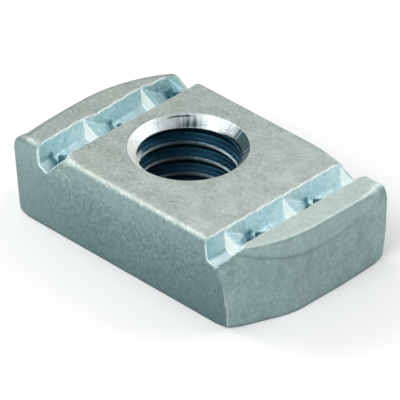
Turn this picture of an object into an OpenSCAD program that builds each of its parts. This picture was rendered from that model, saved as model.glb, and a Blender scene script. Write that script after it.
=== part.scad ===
// Twist-in channel nut: a plated steel block with a tapped hole.
// Two toothed grooves across its top take the turned-in lips of a strut channel,
// and two opposite corners are rounded so that it can be turned into the channel.
// Millimetres. X runs along the nut, Y along the channel, Z up from its flat base.

/* [Block] */
// Width of the nut, along the channel
nut_width = 20.6; // [18:0.1:23]
// Height of the nut
nut_height = 9.6; // [8.5:0.1:12]
// Length at the base
base_length = 33.5; // [32:0.1:35]
// Length across the lips, which lean outward
lip_length = 34.6; // [33.5:0.1:36]
// How far both lips sit toward the -X end
lip_shift = 0.3; // [0:0.05:0.5]
// Length from the middle to the start of each sheared corner, at the base
corner_start = 3.5; // [2:0.1:6]
// Length that each sheared corner takes off the base
corner_cut = 2.7; // [1.5:0.1:3.5]
// Radius of each sheared corner in plan, at the lips
corner_radius = 1; // [0.8:0.1:2.5]
// Radius of the two full corners in plan
full_corner_radius = 0.8; // [0.75:0.05:1.5]
// Rounding of the edges round the base
base_edge = 0.25; // [0.2:0.05:0.7]
// Rounding of the edges round the top
top_edge = 0.5; // [0.2:0.05:0.75]

/* [Grooves] */
// Distance between the two grooves, the width of the channel's slot
groove_spacing = 21.3; // [20:0.1:22]
// Width of each groove at the top
groove_width = 3.2; // [2.8:0.1:3.5]
// Depth of each groove at its walls
groove_depth = 2.3; // [1.8:0.1:2.8]
// Further depth of the V in each groove's floor
groove_vee = 0.6; // [0.2:0.1:1]
// How far each wall leans in from top to floor
wall_lean = 0.3; // [0.1:0.05:0.5]

/* [Teeth] */
// Pitch of the teeth along each wall
tooth_pitch = 8.5; // [7.5:0.1:9]
// Distance from the near side to the first tooth on the middle block
first_tooth = 2.8; // [2:0.1:3.5]
// How far a tooth reaches across the groove
tooth_reach = 2.3; // [1.6:0.05:2.6]
// Depth of a tooth's top below the top of its wall
tooth_top = 0.35; // [0.2:0.05:0.6]
// How far a tooth's top falls from its wall to its tip
tooth_fall = 1.25; // [0.8:0.05:1.4]
// Length over which a tooth runs out along its wall
tooth_run = 3.9; // [3:0.1:3.9]
// Length of the metal pressed into the near end of each groove
fill_length = 1.8; // [1.2:0.1:2.4]
// Depth of that metal below the top of its wall
fill_top = 0.4; // [0.2:0.1:0.6]
// How far that metal falls from its wall to the middle of the groove
fill_fall = 1.85; // [1.4:0.05:2]

/* [Tapped hole] */
// Inside diameter of the thread, a half-inch coarse one
thread_bore = 10.6; // [9:0.1:11]
// Diameter of the countersink at each mouth
countersink = 12.8; // [12:0.1:13.5]
// Place of the hole along the nut, from the middle
hole_x = -2.6; // [-3:0.1:0]
// Place of the hole across the nut, from the middle
hole_y = 0.8; // [-1:0.1:1]

/* [Hidden] */

half_width = nut_width / 2;
half_base = base_length / 2;
turning_radius = lip_length / 2;

// The block is straight sided up to the shear line and blends from there up to the groove floor
shear_share = 0.2;
shear_height = shear_share * nut_height;
blend_height = nut_height - groove_depth - groove_vee / 2;

// Angle of the sheared corner at the base and the centre of the small round at its foot
shear_angle = atan2(corner_cut, half_width - corner_start);
shear_y = half_width - full_corner_radius;
shear_x = half_base
    - (full_corner_radius + (shear_y - corner_start) * sin(shear_angle)) / cos(shear_angle);

// Centre of the round on the corner at the lips, which meets the turning circle and the long side
corner_y = half_width - corner_radius;
corner_x = sqrt(pow(turning_radius - corner_radius, 2) - pow(corner_y, 2));
corner_angle = atan2(corner_y, corner_x);

countersink_depth = (countersink - thread_bore) / 2;
root = 0.3;
edge_steps = 4;
blend_steps = 5;
round_steps = 8;
end_steps = 12;
cut_over = 1;

// Points along an arc, without its last point, which the next stretch begins with
function arc(centre, radius, from, to, steps) =
    [for (i = [0 : steps - 1]) let (a = from + (to - from) * i / steps)
        centre + radius * [cos(a), sin(a)]];

// Points along a straight stretch, without its last point
function line(from, to, steps) =
    [for (i = [0 : steps - 1]) from + (to - from) * i / steps];

// One end of the plan and the same end turned half a revolution
function both_ends(points) = concat(points, [for (p = points) -p]);

// Rounded full corner of an end whose half length is given, drawn in by an inset
function full_corner(half_length, inset) = concat(
    arc(
        [half_length, half_width] - full_corner_radius * [1, 1],
        full_corner_radius - inset, 90, 0, round_steps
    ),
    [[half_length - inset, shear_y]]
);

// Plan at the base: straight end, then the sheared corner down to the long side
function base_plan(inset) =
    let (
        bend = [half_base - inset, inset * tan(shear_angle / 2) - corner_start],
        round_centre = [shear_x, -shear_y],
        round_radius = full_corner_radius - inset,
        round_start = round_centre + round_radius * [cos(shear_angle), -sin(shear_angle)]
    )
    both_ends(concat(
        full_corner(half_base, inset),
        line(bend, round_start, end_steps),
        arc(round_centre, round_radius, -shear_angle, -90, round_steps),
        [round_centre - [0, round_radius]]
    ));

// Plan at the lips: straight end, then the circle that clears the channel as the nut turns
function lip_plan(inset) =
    let (points = both_ends(concat(
        full_corner(turning_radius, inset),
        arc([0, 0], turning_radius - inset, 0, -corner_angle, end_steps),
        arc([corner_x, -corner_y], corner_radius - inset, -corner_angle, -90, round_steps),
        [[corner_x, inset - half_width]]
    )))
    [for (p = points) p - [lip_shift, 0]];

function at_height(plan, z) = [for (p = plan) [p[0], p[1], z]];

// Solid block with rounded edges: plans stacked from the base to the top and skinned
module block() {
    turns = [for (i = [0 : edge_steps]) 90 * i / edge_steps];
    levels = concat(
        [for (a = turns) at_height(base_plan(base_edge * (1 - sin(a))), base_edge * (1 - cos(a)))],
        [for (i = [0 : blend_steps]) let (t = i / blend_steps) at_height(
            base_plan(0) + (lip_plan(0) - base_plan(0)) * pow(t, 2),
            shear_height + (blend_height - shear_height) * t
        )],
        [for (a = turns) at_height(
            lip_plan(top_edge * (1 - cos(a))), nut_height - top_edge * (1 - sin(a))
        )]
    );
    count = len(levels[0]);
    last = len(levels) - 1;
    polyhedron(
        points = [for (level = levels) each level],
        faces = concat(
            [[for (i = [0 : count - 1]) count - 1 - i]],
            [for (k = [0 : last - 1], i = [0 : count - 1])
                let (j = (i + 1) % count)
                each [
                    [k * count + i, k * count + j, (k + 1) * count + j],
                    [k * count + i, (k + 1) * count + j, (k + 1) * count + i]
                ]],
            [[for (i = [0 : count - 1]) last * count + i]]
        )
    );
}

// Upright wedge on a three-cornered plan, rooted below the groove's floor.
// Its top falls across the groove and along it from a given depth at the plan's origin.
module wedge(plan, top, fall_across, fall_along) {
    floor_depth = groove_depth + groove_vee + root;
    polyhedron(
        points = concat(
            [for (p = plan) [p[0], p[1], -floor_depth]],
            [for (p = plan) [p[0], p[1], -top - fall_across * p[0] - fall_along * p[1]]]
        ),
        faces = [[0, 1, 2], [5, 4, 3], [3, 4, 1, 0], [4, 5, 2, 1], [5, 3, 0, 2]]
    );
}

// Tooth: a flat face across the groove and a flank that runs from its tip back to the wall
module tooth() {
    flank = (tooth_reach + root) / (tooth_reach - wall_lean);
    wedge(
        [[-root, 0], [tooth_reach, 0], [-root, tooth_run * flank]],
        tooth_top, tooth_fall / tooth_reach, (groove_depth - tooth_top) / tooth_run
    );
}

// Metal pressed into the end of a groove, which slopes from its wall to the middle of the floor
module end_fill() {
    middle = groove_width / 2;
    wedge(
        [[-root, -root], [middle + root, -root], [-root, fill_length]],
        fill_top, fill_fall / middle, (groove_depth - fill_top) / fill_length
    );
}

// Void of one groove with its teeth left standing, from the top of the middle block outward.
// Its near end is part filled at the lip or else at the middle block.
module toothed_groove(filled_at_lip) {
    lip_side = groove_width;
    difference() {
        translate([0, half_width + cut_over, 0])
            rotate([90, 0, 0])
                linear_extrude(nut_width + 2 * cut_over)
                    polygon([
                        [0, cut_over],
                        [0, 0],
                        [wall_lean, -groove_depth],
                        [lip_side / 2, -groove_depth - groove_vee],
                        [lip_side - wall_lean, -groove_depth],
                        [lip_side, 0],
                        [lip_side, cut_over]
                    ]);
        for (i = [0 : 2])
            translate([0, first_tooth - half_width + tooth_pitch * i, 0])
                tooth();
        for (i = [0 : 1])
            translate([lip_side, first_tooth - half_width + tooth_pitch * (i + 0.5), 0])
                mirror([1, 0, 0])
                    tooth();
        translate([filled_at_lip ? lip_side : 0, -half_width, 0])
            mirror([filled_at_lip ? 1 : 0, 0, 0])
                end_fill();
    }
}

// Bore at the thread's inside diameter, with a countersink above and below, as one turned shape
module tapped_hole() {
    bore = thread_bore / 2;
    mouth = countersink / 2;
    translate([hole_x, hole_y, 0])
        rotate_extrude($fn = 96)
            polygon([
                [0, -cut_over],
                [mouth + cut_over, -cut_over],
                [bore, countersink_depth],
                [bore, nut_height - countersink_depth],
                [mouth + cut_over, nut_height + cut_over],
                [0, nut_height + cut_over]
            ]);
}

module nut_body() {
    color([0.72, 0.75, 0.75])
        difference() {
            block();
            for (side = [0, 1])
                mirror([side, 0, 0])
                    translate([groove_spacing / 2, 0, nut_height])
                        toothed_groove(side == 0);
            tapped_hole();
        }
}

nut_body();
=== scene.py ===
import bmesh
import bpy
import numpy as np
from mathutils import Matrix, Vector


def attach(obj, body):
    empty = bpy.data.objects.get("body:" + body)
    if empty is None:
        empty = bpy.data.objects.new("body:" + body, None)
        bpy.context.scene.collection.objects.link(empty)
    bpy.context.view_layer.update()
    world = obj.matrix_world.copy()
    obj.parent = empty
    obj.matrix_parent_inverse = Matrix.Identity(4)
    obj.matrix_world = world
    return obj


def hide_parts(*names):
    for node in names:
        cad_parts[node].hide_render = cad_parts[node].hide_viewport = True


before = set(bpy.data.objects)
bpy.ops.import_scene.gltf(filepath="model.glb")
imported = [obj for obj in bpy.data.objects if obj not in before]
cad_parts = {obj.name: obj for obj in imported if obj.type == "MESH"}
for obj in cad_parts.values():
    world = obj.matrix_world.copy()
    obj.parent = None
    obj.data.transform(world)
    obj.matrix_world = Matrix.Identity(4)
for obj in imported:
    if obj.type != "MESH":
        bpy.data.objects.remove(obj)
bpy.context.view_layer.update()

# Nut body
# One block of steel with two toothed grooves and a tapped hole, zinc plated all over, in millimetres.
# The outside is where a formula for the distance to the metal is nought. The hole is a turned sheet.
PER_METRE = 1000
HEIGHT = 9.6
HALF_WIDTH = 10.3
HALF_BASE = 16.85
TURNING_RADIUS = 17.3
LIP_SHIFT = 0.3
CORNER_START = 3.5
CORNER_CUT = 2.7
SHEAR_HEIGHT = 1.92
BLEND_HEIGHT = 7.0
CREASE_HEIGHT = 6.9
CREASE_MIDDLE = 0.8
CREASE_ARCH = 0.0215
CREASE_STEP = 0.22
LIP_DRAW = 0.12
BASE_DRAW = 0.35
PULL_START = 3.0
PULL_PLACE = 13.9
PULL_IN = 1.7
PULL_FACING = (0.64, 0.77)
GROOVE_INNER = 10.65
GROOVE_WIDTH = 3.2
GROOVE_DEPTH = 2.3
GROOVE_VEE = 0.6
FLOOR_INSET = 0.3
WALL_LEAN = 0.13
WALL_BOW = 0.42
INNER_TEETH = (-7.5, 1.0, 9.5)
OUTER_TEETH = (-3.25, 5.25)
TOOTH_PITCH = 8.5
TOOTH_TOP = 0.35
TOOTH_REACH = 2.3
TOOTH_FALL = 0.543
TOOTH_RUN_OUT = 0.5
TOOTH_FLANK = 0.513
TOOTH_EDGE = 0.16
TOOTH_ROOT = 0.14
SET_BACK = 0.7
HOLE = (-2.6, 0.8)
BORE_RADIUS = 5.3
MOUTH_RADIUS = 6.4
RIM_RADIUS = 6.75
RIM_GAP = 0.15
MOUTH_STEP = 0.05
SHEET_END = 0.03
PITCH = 1.954
THREAD_DEPTH = 0.78
THREAD_TURN = 0.52
TURN_COUNT = 192
HEIGHT_COUNT = 140
FAR_TURN = 0.4
FILL_SWEEPS = 4
DRAW_STEPS = 6
CELL_REACH = 0.8
LEAST_STEEPNESS = 0.05


def share(value, none, full):
    """How far a value has come on its way from none to full, from 0 to 1."""
    return np.clip((value - none) / (full - none), 0, 1)


def eased(part):
    """A share that starts and stops softly."""
    return part * part * (3 - 2 * part)


def hump(value, middle, reach):
    """1 at the middle, and next to nothing at twice the reach to either side of it."""
    return np.exp(-((value - middle) / reach) ** 2)


def rounded(a, b, reach):
    """The larger of two distances, eased over the reach, which rounds the edge where both are nought."""
    near = np.maximum(reach - np.abs(a - b), 0)
    return np.maximum(a, b) + near * near / (4 * reach)


def over_crease(x, y, z):
    """Height over the crease across each end, which is lowest near the middle of the end."""
    return z - CREASE_HEIGHT - CREASE_ARCH * (np.sign(x) * y - CREASE_MIDDLE) ** 2


def end_distance(x, y, z):
    """Distance to the ends: the base plan eased into the lips' plan as z rises, with an arched crease.
    The near right corner of the two sheared ones is pulled in towards the groove above it."""
    toward_full = np.sign(x) * y
    curved = share(z, SHEAR_HEIGHT, BLEND_HEIGHT) ** 2
    straight = share(z, 0.5, 8)
    rise = straight + (curved - straight) * share(toward_full, 4, -4)
    cut = np.clip(-toward_full, 0, HALF_WIDTH)
    lean = np.arctan2(CORNER_CUT, HALF_WIDTH - CORNER_START)
    sheared = (np.abs(x) - HALF_BASE) * np.cos(lean) + (cut - CORNER_START) * np.sin(lean)
    base = rounded(np.abs(x) - HALF_BASE, sheared, 0.6)
    lips = np.hypot(x + LIP_SHIFT, cut) - TURNING_RADIUS
    above = over_crease(x, y, z)
    crease = CREASE_STEP * eased(share(above, 0.05, -0.45)) + LIP_DRAW * share(above, 0, 2.5)
    ends = base + (lips - base) * rise + crease * share(toward_full, 12, -6)
    ends = ends + BASE_DRAW * share(z, 4, 0) * share(toward_full, 4, 10) * (x > 0)
    pulled = share(z, PULL_START, CREASE_HEIGHT) ** 1.6 - 0.4 * share(z, CREASE_HEIGHT, HEIGHT)
    corner = (x - PULL_PLACE + PULL_IN * pulled) * PULL_FACING[0] - (y + HALF_WIDTH) * PULL_FACING[1]
    corner = np.where(z > PULL_START, corner, corner - PULL_START + z)
    return rounded(ends, corner, 0.9)


def block_distance(x, y, z):
    """Distance to the block without grooves: ends, long sides, top and base, with unlike edge roundings.
    The middle block's two corners next to the full ones roll down towards the grooves."""
    toward_full = np.sign(x) * y
    ends = end_distance(x, y, z)
    sides = np.abs(y) - HALF_WIDTH
    outline = rounded(ends, sides, np.where(toward_full > 0, 0.4, 0.3))
    full_share = share(toward_full, 0, HALF_WIDTH)
    left_edge = 1.2 + 1.4 * full_share**2
    right_edge = 0.4 + 2.8 * full_share**6
    end_edge = np.where(x < 0, left_edge, right_edge)
    near_edge = 1.0
    far_edge = 0.25 + 0.9 * share(x, 10.2, 13.2)
    side_edge = np.where(y < 0, near_edge, far_edge)
    top_edge = end_edge + (side_edge - end_edge) * share(sides - ends, -0.5, 0.5)
    base_edge = 0.15 + 0.75 * share(ends + sides, -1.6, 0)
    block = rounded(rounded(outline, z - HEIGHT, top_edge), -z, base_edge)
    roll = 0.25 * (np.abs(x) - GROOVE_INNER) + 0.55 * (toward_full - HALF_WIDTH) + 0.8 * (z - HEIGHT)
    return np.where(np.abs(x) < 12, rounded(block, roll + 0.5, 0.7), block)


def tooth_distance(across, along, depth):
    """Distance to one tooth from its wall: an upright face, a falling top and a flank back to the wall.
    Each slanting side is divided by the length of its own slope, so that it counts in millimetres."""
    top_slope, flank_slope = 1.24, 1.12
    top = (TOOTH_TOP + TOOTH_FALL * across + TOOTH_RUN_OUT * along - depth) / top_slope
    flank = (across - TOOTH_REACH + TOOTH_FLANK * along) / flank_slope
    return rounded(rounded(-along, top, TOOTH_EDGE), flank, TOOTH_EDGE)


def groove_distance(x, y, z):
    """Distance to the empty room of the grooves: leaning walls, a V floor and the teeth left standing.
    Towards its ends one wall of each groove leans over, and all edges waver a little along the groove.
    The outer wall at -X bows out towards each of its teeth."""
    waver = 0.04 * np.sin(3.1 * y) + 0.02 * np.sin(7.7 * y + x / 9) + 0.006 * np.sin(17 * y + 1)
    across = np.abs(x) - GROOVE_INNER + waver
    depth = HEIGHT - z
    lean_start = np.where((x > 0) & (y < 0), 7.7, 8.5)
    past = eased(share(np.abs(y), lean_start, lean_start + 1.4))
    middle_lean = np.where((x < 0) & (y < 0), past, 0)
    lip_lean = np.where(x * y < 0, past, 0) * np.where(y > 0, 2.4, 1)
    middle_slope, middle_back = 0.75, 0.5
    lip_slope, lip_back = 0.67, 0.45
    inner = (WALL_LEAN + middle_slope * middle_lean) * depth - across - middle_back * middle_lean
    phase = (y - OUTER_TEETH[0]) / TOOTH_PITCH % 1
    bow = np.where(x < 0, WALL_BOW, 0) * np.maximum(phase, 1 - 3.9 * phase) * share(y, 9.5, 6.5)
    outer = across - GROOVE_WIDTH - bow - lip_back * np.minimum(lip_lean, 1)
    outer = outer + (WALL_LEAN + lip_slope * lip_lean) * depth
    half = GROOVE_WIDTH / 2
    vee = GROOVE_VEE * (1 - np.abs(across - half) / (half - FLOOR_INSET))
    floor_slope = 0.9
    floor = (depth - GROOVE_DEPTH - vee) * floor_slope
    room = rounded(rounded(inner, outer, 0.1), floor, 0.2)
    for start in INNER_TEETH:
        along = y - start + np.where(x < 0, SET_BACK, 0)
        room = rounded(room, -tooth_distance(across, along, depth), TOOTH_ROOT)
    for start in OUTER_TEETH:
        along = y - start + np.where(x > 0, SET_BACK, 0)
        room = rounded(room, -tooth_distance(GROOVE_WIDTH - across, along, depth), TOOTH_ROOT)
    return room


def nut_distance(points):
    """Distance to the nut's metal without its hole, less than nought inside it, at rows of x, y and z.
    The sharp tips of the lips at the sheared corners are blunted more than the grooves' other edges."""
    x, y, z = points.T
    at_tip = (x * y < 0) * share(np.abs(y), 8.4, 9.4) * share(np.abs(x), 11, 12)
    return rounded(block_distance(x, y, z), -groove_distance(x, y, z), 0.3 + 0.45 * at_tip)


def slope_of(points):
    """Direction in which the distance grows, from small steps to either side along each axis."""
    size = 0.01
    steps = size * np.eye(3)
    rises = [nut_distance(points + step) - nut_distance(points - step) for step in steps]
    return np.stack(rises, axis=1) / (2 * size)


def planes(low, high, wide, close, places, reach):
    """Positions from low to high that stand wide apart, and close together round the given places."""
    tries = 8000
    fine = np.linspace(low, high, tries + 1)
    nearness = hump(fine[:, None], np.array(places), reach).max(axis=1)
    count = np.cumsum((high - low) / tries / (wide + (close - wide) * nearness))
    return np.interp(np.linspace(count[0], count[-1], int(count[-1])), count, fine)


edges_x = (-17.2, -14, -13.2, -11.6, -10.7, 10.7, 11.6, 13.2, 14, 17.2)
edges_y = (-10.2, -9.6, -7.5, -3.25, 1, 5.25, 9.6, 10.2)
edges_z = (0.1, 6.8, 7.6, 8.4, 9.4)
lines = (
    planes(-17.8, 17.8, wide=0.3, close=0.13, places=edges_x, reach=0.8),
    planes(-10.9, 10.9, wide=0.26, close=0.1, places=edges_y, reach=0.45),
    planes(-0.5, 10.1, wide=0.26, close=0.1, places=edges_z, reach=0.5),
)
shape = [len(line) for line in lines]
grid = np.stack(np.meshgrid(*lines, indexing="ij"), axis=-1).reshape(-1, 3)
inside = (nut_distance(grid) < 0).reshape(shape)

# A grid square with two opposite corners in the metal and two out of it is filled,
# so that each edge of the mesh joins two faces
for sweep in range(FILL_SWEEPS):
    for axis in range(3):
        square = np.moveaxis(inside, ((axis + 1) % 3, (axis + 2) % 3), (0, 1))
        parts = (square[:-1, :-1], square[1:, :-1], square[1:, 1:], square[:-1, 1:])
        crossed = (parts[0] == parts[2]) & (parts[1] == parts[3]) & (parts[0] != parts[1])
        for part in parts:
            part |= crossed

# Each cell of the grid that the surface passes through gets one point, drawn in onto the surface
halves = (slice(None, -1), slice(1, None))
cell_count = sum(inside[i, j, k].astype(np.int8) for i in halves for j in halves for k in halves)
cells = np.argwhere((cell_count > 0) & (cell_count < 8))
number = np.full(cell_count.shape, -1)
number[tuple(cells.T)] = np.arange(len(cells))
middle = [(line[1:] + line[:-1])[cells[:, axis]] / 2 for axis, line in enumerate(lines)]
middle = np.stack(middle, axis=1)
reach = [np.diff(line)[cells[:, axis]] for axis, line in enumerate(lines)]
reach = np.stack(reach, axis=1) * CELL_REACH
points = middle.copy()
for step in range(DRAW_STEPS):
    slope = slope_of(points)
    steepness = np.maximum((slope**2).sum(axis=1), LEAST_STEEPNESS)
    points -= slope * (nut_distance(points) / steepness)[:, None]
    points = np.clip(points, middle - reach, middle + reach)

# Each grid line that leaves or enters the metal gets one four-sided face between the cells round it
faces = []
for axis in range(3):
    order = (axis, (axis + 1) % 3, (axis + 2) % 3)
    here = np.moveaxis(inside, order, (0, 1, 2))[:, 1:-1, 1:-1]
    cell = np.moveaxis(number, order, (0, 1, 2))
    ring = [cell[:, :-1, :-1], cell[:, 1:, :-1], cell[:, 1:, 1:], cell[:, :-1, 1:]]
    ring = np.stack(ring, axis=-1)
    faces.append(ring[here[:-1] & ~here[1:]])
    faces.append(ring[~here[:-1] & here[1:]][:, ::-1])
faces = np.concatenate(faces)

# The top and the base open round the hole
away = np.hypot(points[:, 0] - HOLE[0], points[:, 1] - HOLE[1])
faces = faces[(away[faces] > RIM_RADIUS + RIM_GAP).all(axis=1)]
used = np.unique(faces)
faces = np.searchsorted(used, faces)
points = points[used]
normals = slope_of(points)
normals /= np.linalg.norm(normals, axis=1)[:, None]
body_count = len(points)


def hole_radius(turn, z):
    """Radius of the hole at a turn from 0 to 1 and a height.
    It has a right-hand thread, which starts a little way in, and a cone at each mouth."""
    from_mouth = np.minimum(z, HEIGHT - z)
    ridge = np.abs((z / PITCH - turn + THREAD_TURN) % 1 - 0.5) * 2
    started = share(from_mouth, 0.75, 1.15)
    thread = BORE_RADIUS + THREAD_DEPTH * share(ridge, 0.14, 0.88) * started
    return rounded(thread, MOUTH_RADIUS - from_mouth, 0.15)


# The hole is a sheet of turns and heights between two rings that lie on the top and the base
turns = np.arange(TURN_COUNT) / TURN_COUNT
heights = np.linspace(HEIGHT - SHEET_END, SHEET_END, HEIGHT_COUNT)
heights = np.concatenate([[HEIGHT, HEIGHT], heights, [0, 0]])
turn, height = np.meshgrid(turns, heights)
radius = hole_radius(turn, height)
radius[[0, -1]] = RIM_RADIUS
radius[[1, -2]] = MOUTH_RADIUS + MOUTH_STEP
hole_x = HOLE[0] + radius * np.cos(2 * np.pi * turn)
hole_y = HOLE[1] + radius * np.sin(2 * np.pi * turn)
hole_points = np.stack([hole_x, hole_y, height], axis=-1)
around = np.roll(hole_points, -1, axis=1) - np.roll(hole_points, 1, axis=1)
hole_normals = np.cross(around, np.gradient(hole_points, axis=0))
hole_normals /= np.linalg.norm(hole_normals, axis=-1)[..., None]
hole_normals[0] = (0, 0, 1)
hole_normals[-1] = (0, 0, -1)
corner = np.arange(turn.size).reshape(turn.shape) + body_count
beside = np.roll(corner, -1, axis=1)
hole_faces = np.stack([corner[:-1], beside[:-1], beside[1:], corner[1:]], axis=-1).reshape(-1, 4)
points = np.concatenate([points, hole_points.reshape(-1, 3)])
normals = np.concatenate([normals, hole_normals.reshape(-1, 3)])
faces = np.concatenate([faces, hole_faces])

nut_mesh = bpy.data.meshes.new("nut_body_plated")
nut_mesh.from_pydata(points / PER_METRE, [], faces)
sewn = bmesh.new()
sewn.from_mesh(nut_mesh)
for level, upward in ((HEIGHT, 1), (0, -1)):
    rims = [edge for edge in sewn.edges if edge.is_boundary]
    open_edges = [edge for edge in rims if abs(edge.verts[0].co.z * PER_METRE - level) < 1]
    bmesh.ops.triangle_fill(sewn, edges=open_edges, use_beauty=True, normal=(0, 0, upward))
sewn.to_mesh(nut_mesh)
sewn.free()
nut_mesh.shade_smooth()
nut_mesh.normals_split_custom_set_from_vertices(normals)

# Marks from 0 to 1 on the hole: its cone and thread, painted highlights on the crests, and a painted
# white gleam at its left
cone_depth = np.minimum(height, HEIGHT - height)
below_rim = cone_depth > 0.02
on_cone = share(MOUTH_RADIUS - cone_depth - radius, -0.09, -0.03) * below_rim
in_thread = below_rim * (1 - on_cone)
to_left = share(turn, 0.54, 0.59) * share(turn, 0.82, 0.72)
off_far = ((turn - FAR_TURN) / 0.16) ** 2
# Painted highlights: the first crest at the left is painted white, and the other crests are brighter
# away from the far side
on_first_crest_highlight = in_thread * to_left * share(radius, BORE_RADIUS + 0.5, BORE_RADIUS + 0.3)
on_first_crest_highlight *= share(height, 6.5, 6.8)
in_thread = in_thread * (1 - on_first_crest_highlight)
on_crest_highlight = in_thread * share(radius, BORE_RADIUS + 0.05, BORE_RADIUS)
on_crest_highlight *= np.clip(0.1 + off_far, 0, 1) * (height < 7.9)
on_hole_highlight = np.maximum(np.maximum(on_first_crest_highlight, on_crest_highlight), 0.9 * to_left * on_cone)

# Painted shade on the cone where it mirrors the dark bore, darker at some turns and broken into streaks
# down the cone by the chatter of the tools, and painted sheen on fine lines along the thread
chatter = np.random.default_rng(4).random(TURN_COUNT)[None, :]
inner_share = share(cone_depth, 0, 0.9)
shade = 1.3 * hump(turn, 0.17, 0.065) + 0.7 * hump(turn, 0.06, 0.07)
shade += (0.4 + 0.7 * inner_share) * hump(turn, 0.372, 0.05)
shade += 0.15 * inner_share * hump(turn, 0.49, 0.05)
shade += 1.2 * hump(cone_depth, 0.22, 0.06) * np.exp(-((turn - FAR_TURN) / 0.035) ** 4)
on_cone_shade = on_cone * np.clip(shade * (0.7 + 0.5 * chatter), 0, 1)
# Painted sheen on fine lines along the thread, fading towards the far side
lines_per_pitch = 6
fine_line = np.sin(2 * np.pi * lines_per_pitch * (height / PITCH - turn))
on_fine_line_sheen = in_thread * np.clip(fine_line, 0, 1) * np.clip(0.2 + off_far, 0, 1)
# The cone's own colour gives way to the painted white gleam at its left
on_cone = on_cone * (1 - 0.8 * to_left)

# Marks from 0 to 1 on the body: sides, ends, grooves and the walls and tooth faces in them
x, y, z = points[:body_count].T
facing_x, facing_y, facing_z = normals[:body_count].T
across = np.abs(x) - GROOVE_INNER
depth = HEIGHT - z
toward_full = np.sign(x) * y
from_shown = np.where(x > 0, across, GROOVE_WIDTH - across)
in_groove = share(np.abs(groove_distance(x, y, z)), 0.168, 0.048)
in_groove *= np.abs(across - GROOVE_WIDTH / 2) < 2.1
on_side = share(np.abs(facing_z), 0.94, 0.54) * (1 - in_groove)
on_end = on_side * share(np.abs(facing_x), 0.25, 0.75)
on_face = in_groove * share(-facing_y, 0.5, 0.8)
on_wall = in_groove * share(facing_x, 0.6, 0.8)

# Round each tooth: its face painted white as a highlight, or painted shade at its foot, a painted glow
# before it and painted light on the wall behind it
on_tooth_highlight = np.zeros(body_count)
in_gap_shade = np.zeros(body_count)
on_glow = np.zeros(body_count)
shade_length = np.where(x < 0, 1.5, 2.4)
for starts, shown_side in ((INNER_TEETH, 1), (OUTER_TEETH, -1)):
    shown = x * shown_side > 0
    for start in starts:
        past = y - start
        # Painted highlight on the shown face of each tooth
        on_tooth_highlight += on_face * shown * (np.abs(past) < 0.3)
        before = share(past, -2.8, 0) * (past < 0) * (start > INNER_TEETH[0])
        on_glow += in_groove * shown * before * share(depth, 0.7, 1.9)
        # Painted light on the wall behind each shown inner tooth at the right, where its shadow falls
        behind = on_wall * (x > 0) * (shown_side > 0) * share(past, 3.5, 0) * (past > 0)
        on_tooth_highlight += 0.4 * behind * share(depth, 1.8, 1.2)
        # Painted shade at the foot of each hidden tooth and on the floor before it
        past_hidden = past + SET_BACK
        at_foot = on_face * (np.abs(past_hidden) < 0.3) * np.minimum(share(depth, 0.6, 1.6), 0.9)
        shaded = share(past_hidden, -shade_length, 0) * (past_hidden < 0.1)
        shaded = shaded * np.minimum(share(from_shown, 1.9, 1.5), 0.9) + 0.8 * share(shaded, 0.5, 1)
        in_gap_shade += ~shown * (at_foot + shaded * share(depth, 1.5, 2.2))
# Painted shade in the valley past the first right tooth and at the far tip of the left groove
past_first = y - INNER_TEETH[0]
in_leaf_shade = np.minimum(share(depth - 0.15 * past_first, 1.35, 1.55), 0.45) * (x > 0)
in_leaf_shade *= share(past_first, 0.8, 1.2) * (past_first < 4)
far_tip_shade = 0.3 * (x < 0) * share(y, 8.2, 9)
in_gap_shade = np.clip(in_gap_shade + in_leaf_shade + far_tip_shade, 0, 1) * in_groove

# Flanks, floors and brinks of the grooves, and the near end of the right one: painted shade on the
# flanks, in the valleys and on the near wall, painted light on the floor strips and painted highlights
# along the brinks
at_near_end = (x > 0) * share(past_first, 0, -0.2)
# Painted shade on the wall at the near end of the right groove
on_near_wall_shade = on_wall * at_near_end
# Painted shade on the upward flanks of the teeth
on_flank_shade = in_groove * share(facing_z, 0.2, 0.5) * share(from_shown, 1.6, 1.45)
# Painted shade along the bottom of each V floor and where the near wall meets the floor
on_valley_shade = share(np.abs(from_shown - 1.55), 0.156, 0.036) * (depth > GROOVE_DEPTH)
on_valley_shade += at_near_end * share(np.abs(depth - GROOVE_DEPTH), 0.156, 0.036) * (from_shown < 0.8)
on_valley_shade *= in_groove
# Painted light on the upward floor strips
on_lit_strip = share(from_shown, 1.6, 1.75) + at_near_end * share(from_shown, 0.5, 0.65)
on_lit_strip = in_groove * share(facing_z, 0.5, 0.7) * np.clip(on_lit_strip, 0, 1)
# Painted highlights along the top edges of the grooves and at their near ends
on_brink_highlight = share(facing_z, 0.3, 0.6) * share(depth, 0.35, 0.2)
on_brink_highlight = in_groove * np.maximum(on_brink_highlight, share(-facing_y, 0.3, 0.6) * (y < -9.9))

# Crease and band across the ends, the corner lines and the edges round the top: painted shade along the
# crease, painted light on the band, painted shade on the rims turned away and painted glints on the
# rolled edges
to_crease = over_crease(x, y, z)
to_end = end_distance(x, y, z)
# Painted shade along the crease
on_crease_shade = on_end * share(np.abs(to_crease + 0.15), 0.42, 0) * share(toward_full, 13, -3)
# Painted light on the band over the crease
on_lit_band = on_end * share(to_crease, 0, 0.5)
corner_line = share(np.abs(to_end - np.abs(y) + HALF_WIDTH), 0.12, 0.02)
corner_line *= (toward_full < 0) * (1 - in_groove) * share(z, 6, 3)
on_edge = share(np.abs(facing_z - 0.72), 0.3, 0) * (1 - in_groove)
turned_away = np.maximum(-facing_x, facing_y)
rim_reach = 1 + 1.1 * share(y, 0, -HALF_WIDTH) ** 2
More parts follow.
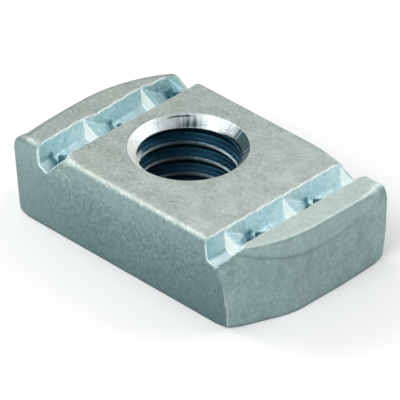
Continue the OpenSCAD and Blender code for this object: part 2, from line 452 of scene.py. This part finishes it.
# Painted shade along the top rims at the left end and the far side, and on sides turned away near the
# full corners
on_rim_shade = share(to_end + rim_reach, 0, 0.3) * (x < 0)
on_rim_shade = np.maximum(on_rim_shade, share(y, HALF_WIDTH - 0.3, HALF_WIDTH - 0.1))
on_rim_shade *= (facing_z > 0.3) * (1 - in_groove)
on_rim_shade += on_side * (toward_full > 8) * share(np.abs(turned_away - 0.55), 0.3, 0)
# Painted glints on the rolled edges, most where they face the near side or the right end, and by the V
# at the near left
on_roll_glint = on_edge * np.clip(0.35 - facing_y + 0.5 * (x > 14), 0, 1) * np.where(x < -13, 0.4, 1)
by_vee = share(np.abs(x + 10), 1.5, 0) * share(z, 6.8, 7.6) * (y < -9)
on_roll_glint = np.maximum(on_roll_glint, by_vee * (1 - in_groove))

body_marks = {
    "side": on_side, "end": on_end, "groove": in_groove, "painted_highlight": on_tooth_highlight, "gap_shade": in_gap_shade,
    "flank": on_flank_shade, "valley_shade": on_valley_shade, "line": corner_line, "lit_strip": on_lit_strip,
    "crease": on_crease_shade, "lit_band": on_lit_band, "glow": on_glow, "edge": on_edge, "rim_shade": on_rim_shade,
    "roll": on_roll_glint, "near_wall_shade": on_near_wall_shade, "brink_highlight": on_brink_highlight,
}
hole_marks = {
    "painted_highlight": on_hole_highlight, "cone": on_cone, "cone_shade": on_cone_shade, "thread": in_thread,
    "crest_highlight": on_crest_highlight, "fine_line": on_fine_line_sheen,
}
for name in {**body_marks, **hole_marks}:
    value = np.zeros(len(points), np.float32)
    value[:body_count] = body_marks.get(name, 0)
    value[body_count:] = np.ravel(hole_marks.get(name, 0))
    nut_mesh.attributes.new(name, "FLOAT", "POINT").data.foreach_set("value", value)

zinc = bpy.data.materials.new("zinc_plate")
zinc.use_nodes = True
tree = zinc.node_tree
shader = tree.nodes["Principled BSDF"]


def feed(socket, value):
    """Sets a socket to a value, or links another node's socket to it."""
    if isinstance(value, bpy.types.NodeSocket):
        tree.links.new(value, socket)
    else:
        socket.default_value = value


def node(kind, **sockets):
    """A new shader node of the nut's material, with the given sockets set or linked."""
    made = tree.nodes.new(kind)
    for name, value in sockets.items():
        feed(made.inputs[name], value)
    return made


def mark(name):
    """One of the values stored at the nut's points."""
    made = node("ShaderNodeAttribute")
    made.attribute_name = name
    return made.outputs["Fac"]


def noise(vector, scale, detail):
    """Cloudy noise from 0 to 1 at so many clouds a metre."""
    made = node("ShaderNodeTexNoise", Vector=vector, Scale=scale, Detail=detail, Roughness=0.65)
    return made.outputs["Fac"]


def ramp(value, low, high, first=0.0, last=1.0):
    """A value that goes from first to last as another goes from low to high."""
    spans = {"From Min": low, "From Max": high, "To Min": first, "To Max": last}
    return node("ShaderNodeMapRange", Value=value, **spans).outputs["Result"]


def reckon(way, first, second):
    """Two values added or multiplied."""
    made = node("ShaderNodeMath")
    made.operation = way
    feed(made.inputs[0], first)
    feed(made.inputs[1], second)
    return made.outputs["Value"]


def blend(factor, low, high):
    """A colour that goes from low to high as the factor goes from 0 to 1."""
    made = node("ShaderNodeMix")
    made.data_type = "RGBA"
    feed(made.inputs[0], factor)
    feed(made.inputs[6], low)
    feed(made.inputs[7], high)
    return made.outputs[2]


def coats(colour, rows):
    """A colour with others laid over it in turn. Each row has the value that the coat follows,
    the span of that value, the coat's shares at both ends of the span and the coat's colour."""
    for value, span, shares, coat in rows:
        colour = blend(ramp(value, *span, *shares), colour, coat)
    return colour


# Values that the colours follow
place = node("ShaderNodeTexCoord").outputs["Object"]
upright = node("ShaderNodeMapping", Vector=place, Scale=(1, 1, 0.3)).outputs["Vector"]
position = node("ShaderNodeSeparateXYZ", Vector=place).outputs
mottle = noise(place, 420.0, 4.0)
tint = noise(place, 330.0, 2.0)
broken = noise(place, 1300.0, 3.0)
grain = noise(place, 2400.0, 4.0)
speck = noise(place, 4200.0, 2.0)
streak = noise(upright, 900.0, 3.0)
to_right = ramp(position["X"], -0.015, 0.015)
to_far = ramp(position["Y"], -0.0005, 0.0065)
whole = (0.0, 1.0)

# Cloudy plate on the top, brighter to the right
top_dull = blend(to_right, (0.335, 0.415, 0.375, 1), (0.46, 0.545, 0.51, 1))
top_bright = blend(to_right, (0.53, 0.62, 0.57, 1), (0.77, 0.865, 0.83, 1))
top_colour = coats(blend(ramp(mottle, 0.3, 0.7), top_dull, top_bright), (
    (grain, (0.42, 0.72), (0.0, 0.65), (0.80, 0.88, 0.83, 1)),
    (speck, (0.25, 0.47), (0.5, 0.0), (0.34, 0.40, 0.37, 1)),
    (tint, (0.45, 0.65), (0.0, 0.25), (0.60, 0.61, 0.56, 1)),
    (position["X"], (0.0125, 0.0145), (0.0, 0.4), (0.74, 0.93, 0.87, 1)),
))

# Upright streaks on the ends, with a band of painted light over the crease
end_colour = coats(blend(ramp(streak, 0.25, 0.75), (0.195, 0.285, 0.275, 1), (0.37, 0.50, 0.485, 1)), (
    (mottle, (0.38, 0.65), (0.0, 0.7), (0.37, 0.50, 0.48, 1)),
    (grain, (0.4, 0.7), (0.65, 0.0), (0.165, 0.255, 0.25, 1)),
    (mark("lit_band"), whole, (0.0, 0.17), (0.45, 0.59, 0.57, 1)),
))

# Dark grain on the long sides, with painted shade towards the base and painted light near the top,
# darker to the right and lighter to the left
side_colour = coats(blend(ramp(grain, 0.28, 0.72), (0.09, 0.16, 0.165, 1), (0.29, 0.42, 0.415, 1)), (
    (position["Z"], (0.0, 0.007), (0.65, 0.0), (0.092, 0.165, 0.17, 1)),
    (position["Z"], (0.006, 0.0095), (0.0, 0.5), (0.35, 0.47, 0.46, 1)),
    (position["X"], (0.0, 0.014), (0.0, 0.35), (0.078, 0.145, 0.155, 1)),
    (position["X"], (-0.016, -0.006), (0.45, 0.0), (0.25, 0.36, 0.355, 1)),
))
side_colour = coats(blend(mark("end"), side_colour, end_colour), (
    # Painted shade along the crease
    (mark("crease"), whole, (0.0, 0.25), (0.12, 0.19, 0.195, 1)),
    (mark("line"), whole, whole, (0.42, 0.49, 0.48, 1)),
    (position["Z"], (0.0, 0.0005), (0.6, 0.0), (0.07, 0.11, 0.115, 1)),
))

# Pale bluish grain in the grooves, with painted shade towards the far end of the left one
groove_dull = blend(to_far, (0.34, 0.55, 0.565, 1), (0.255, 0.425, 0.45, 1))
groove_dull = blend(to_right, groove_dull, (0.44, 0.665, 0.69, 1))
groove_bright = blend(to_far, (0.69, 0.92, 0.94, 1), (0.45, 0.66, 0.69, 1))
groove_bright = blend(to_right, groove_bright, (0.82, 1.0, 1.0, 1))
groove_colour = coats(blend(ramp(grain, 0.3, 0.7), groove_dull, groove_bright), (
    (mottle, (0.52, 0.8), (0.0, 0.7), (0.36, 0.56, 0.59, 1)),
    (position["Y"], (-0.0103, -0.007), (0.4, 0.0), (0.30, 0.55, 0.56, 1)),
    # Painted shade on the near wall
    (mark("near_wall_shade"), whole, (0.0, 0.6), (0.23, 0.47, 0.48, 1)),
    (tint, (0.53, 0.7), (0.0, 0.4), (0.68, 0.75, 0.85, 1)),
    # Painted shade on the flanks
    (mark("flank"), whole, (0.0, 0.35), (0.30, 0.47, 0.51, 1)),
    (mark("glow"), whole, (0.0, 0.4), (0.80, 0.91, 0.97, 1)),
    # Painted light on the floor strips
    (mark("lit_strip"), whole, (0.0, 0.5), (0.85, 0.92, 1.0, 1)),
    # Painted shade along the valleys
    (mark("valley_shade"), whole, (0.0, 0.6), (0.16, 0.30, 0.34, 1)),
    # Painted shade in the gaps round the hidden teeth
    (mark("gap_shade"), whole, whole, (0.065, 0.18, 0.215, 1)),
    # Painted highlights along the brinks
    (mark("brink_highlight"), whole, (0.0, 0.7), (0.93, 0.94, 0.89, 1)),
))

# Painted shade: the thread is painted dark blue, with paler crests as painted highlights; and a bright
# streaked cone
thread_colour = coats((0.001, 0.02, 0.04, 1), (
    # Painted sheen on the fine lines
    (mark("fine_line"), whole, whole, (0.014, 0.08, 0.115, 1)),
    (mark("crest_highlight"), whole, whole, (0.70, 0.90, 0.95, 1)),
))
cone_colour = blend(ramp(streak, 0.35, 0.65), (0.64, 0.72, 0.72, 1), (0.92, 0.98, 0.98, 1))
# Painted shade on the cone where it mirrors the dark bore
cone_colour = blend(mark("cone_shade"), cone_colour, (0.025, 0.06, 0.066, 1))

# All of these put together, with painted shade as a dark line along the far rim and other rims turned
# away, and painted glints as bright specks on the rolled edges
# Painted glints as bright specks on the rolled edges
rolled_glint = reckon("MULTIPLY", ramp(speck, 0.5, 0.66), ramp(broken, 0.44, 0.6))
rolled_glint = reckon("MULTIPLY", rolled_glint, mark("roll"))
colour = coats(blend(mark("side"), top_colour, side_colour), (
    (mark("rim_shade"), whole, (0.0, 0.5), (0.16, 0.19, 0.185, 1)),
    (rolled_glint, whole, whole, (0.80, 0.87, 0.84, 1)),
))
colour = blend(mark("groove"), colour, groove_colour)
# Painted highlights, near white: the lit tooth faces and the gleam in the hole
colour = blend(mark("painted_highlight"), colour, (0.94, 0.95, 0.90, 1))
colour = blend(mark("thread"), colour, thread_colour)
colour = blend(mark("cone"), colour, cone_colour)
feed(shader.inputs["Base Color"], colour)

# Less metallic in the grooves and on the painted highlights, duller on the edges, rough with the grain
groove_metal = ramp(mark("groove"), *whole, 0.85, 0.42)
highlight_metal = ramp(mark("painted_highlight"), *whole, 1.0, 0.1)
feed(shader.inputs["Metallic"], reckon("MULTIPLY", groove_metal, highlight_metal))
grain_dullness = ramp(grain, 0.3, 0.7, 0.36, 0.5)
edge_dullness = ramp(mark("edge"), 0.0, 0.8, 0.0, 0.25)
feed(shader.inputs["Roughness"], reckon("ADD", grain_dullness, edge_dullness))
bump = node("ShaderNodeBump", Strength=0.5, Distance=0.00014, Height=grain)
feed(shader.inputs["Normal"], bump.outputs["Normal"])

nut = bpy.data.objects.new("nut_body_plated", nut_mesh)
bpy.context.scene.collection.objects.link(nut)
nut_mesh.materials.append(zinc)
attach(nut, "root")
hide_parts("nut_body")

# Floor
# A wide pale table top under the nut that keeps its shadow.
# It is one flat square.
far = 3
floor_corners = [(-far, -far, 0), (far, -far, 0), (far, far, 0), (-far, far, 0)]
floor_mesh = bpy.data.meshes.new("floor")
floor_mesh.from_pydata(floor_corners, [], [(0, 1, 2, 3)])
floor = bpy.data.objects.new("floor", floor_mesh)
bpy.context.scene.collection.objects.link(floor)
paint = bpy.data.materials.new("pale_table")
paint.use_nodes = True
paint_inputs = paint.node_tree.nodes["Principled BSDF"].inputs
paint_inputs["Base Color"].default_value = (0.94, 0.94, 0.94, 1)
paint_inputs["Roughness"].default_value = 0.9
floor_mesh.materials.append(paint)

# Lamps and surroundings
# Soft boxes in front of the nut, at its left and behind it, inside a white tent.
# Each lamp is a flat square that faces the nut.
for name, spot, side, power in (
    ("front_box", (0.06, -0.32, 0.26), 0.26, 0.9),
    ("left_box", (-0.30, -0.05, 0.22), 0.2, 0.5),
    ("back_box", (0.14, 0.34, 0.26), 0.24, 0.6),
):
    lamp_data = bpy.data.lights.new(name, "AREA")
    lamp_data.size = side
    lamp_data.energy = power
    lamp = bpy.data.objects.new(name, lamp_data)
    lamp.location = spot
    lamp.rotation_euler = Vector(spot).to_track_quat("Z", "Y").to_euler()
    bpy.context.scene.collection.objects.link(lamp)

world = bpy.data.worlds.new("tent")
bpy.context.scene.world = world
world.use_nodes = True
sky = world.node_tree.nodes["Background"].inputs
sky["Color"].default_value = (1, 1, 1, 1)
sky["Strength"].default_value = 0.55

# Camera
# A long lens that looks down on the near long side and the right end, as the photograph does.
# Its place is the distance back along its own axis, then across and up in its own frame.
AZIMUTH = 44.655
ELEVATION = 34.017
DISTANCE = 523.6
SHIFT_RIGHT = -0.124
SHIFT_UP = 3.726
LENS = 450
SENSOR = 36
turn_angle, tilt_angle = np.radians((AZIMUTH, ELEVATION))
right = np.array((np.cos(turn_angle), np.sin(turn_angle), 0))
level_back = np.array((np.sin(turn_angle), -np.cos(turn_angle), 0))
back = level_back * np.cos(tilt_angle) + np.array((0, 0, np.sin(tilt_angle)))
up = np.cross(back, right)
spot = (DISTANCE * back + SHIFT_RIGHT * right + SHIFT_UP * up) / PER_METRE
lens = bpy.data.cameras.new("camera")
lens.lens = LENS
lens.sensor_width = SENSOR
lens.clip_start = 0.01
camera = bpy.data.objects.new("camera", lens)
pose = np.vstack([np.column_stack([right, up, back, spot]), [0, 0, 0, 1]])
camera.matrix_world = Matrix(pose.tolist())
bpy.context.scene.collection.objects.link(camera)
bpy.context.scene.camera = camera
bpy.context.scene.view_settings.view_transform = "Standard"
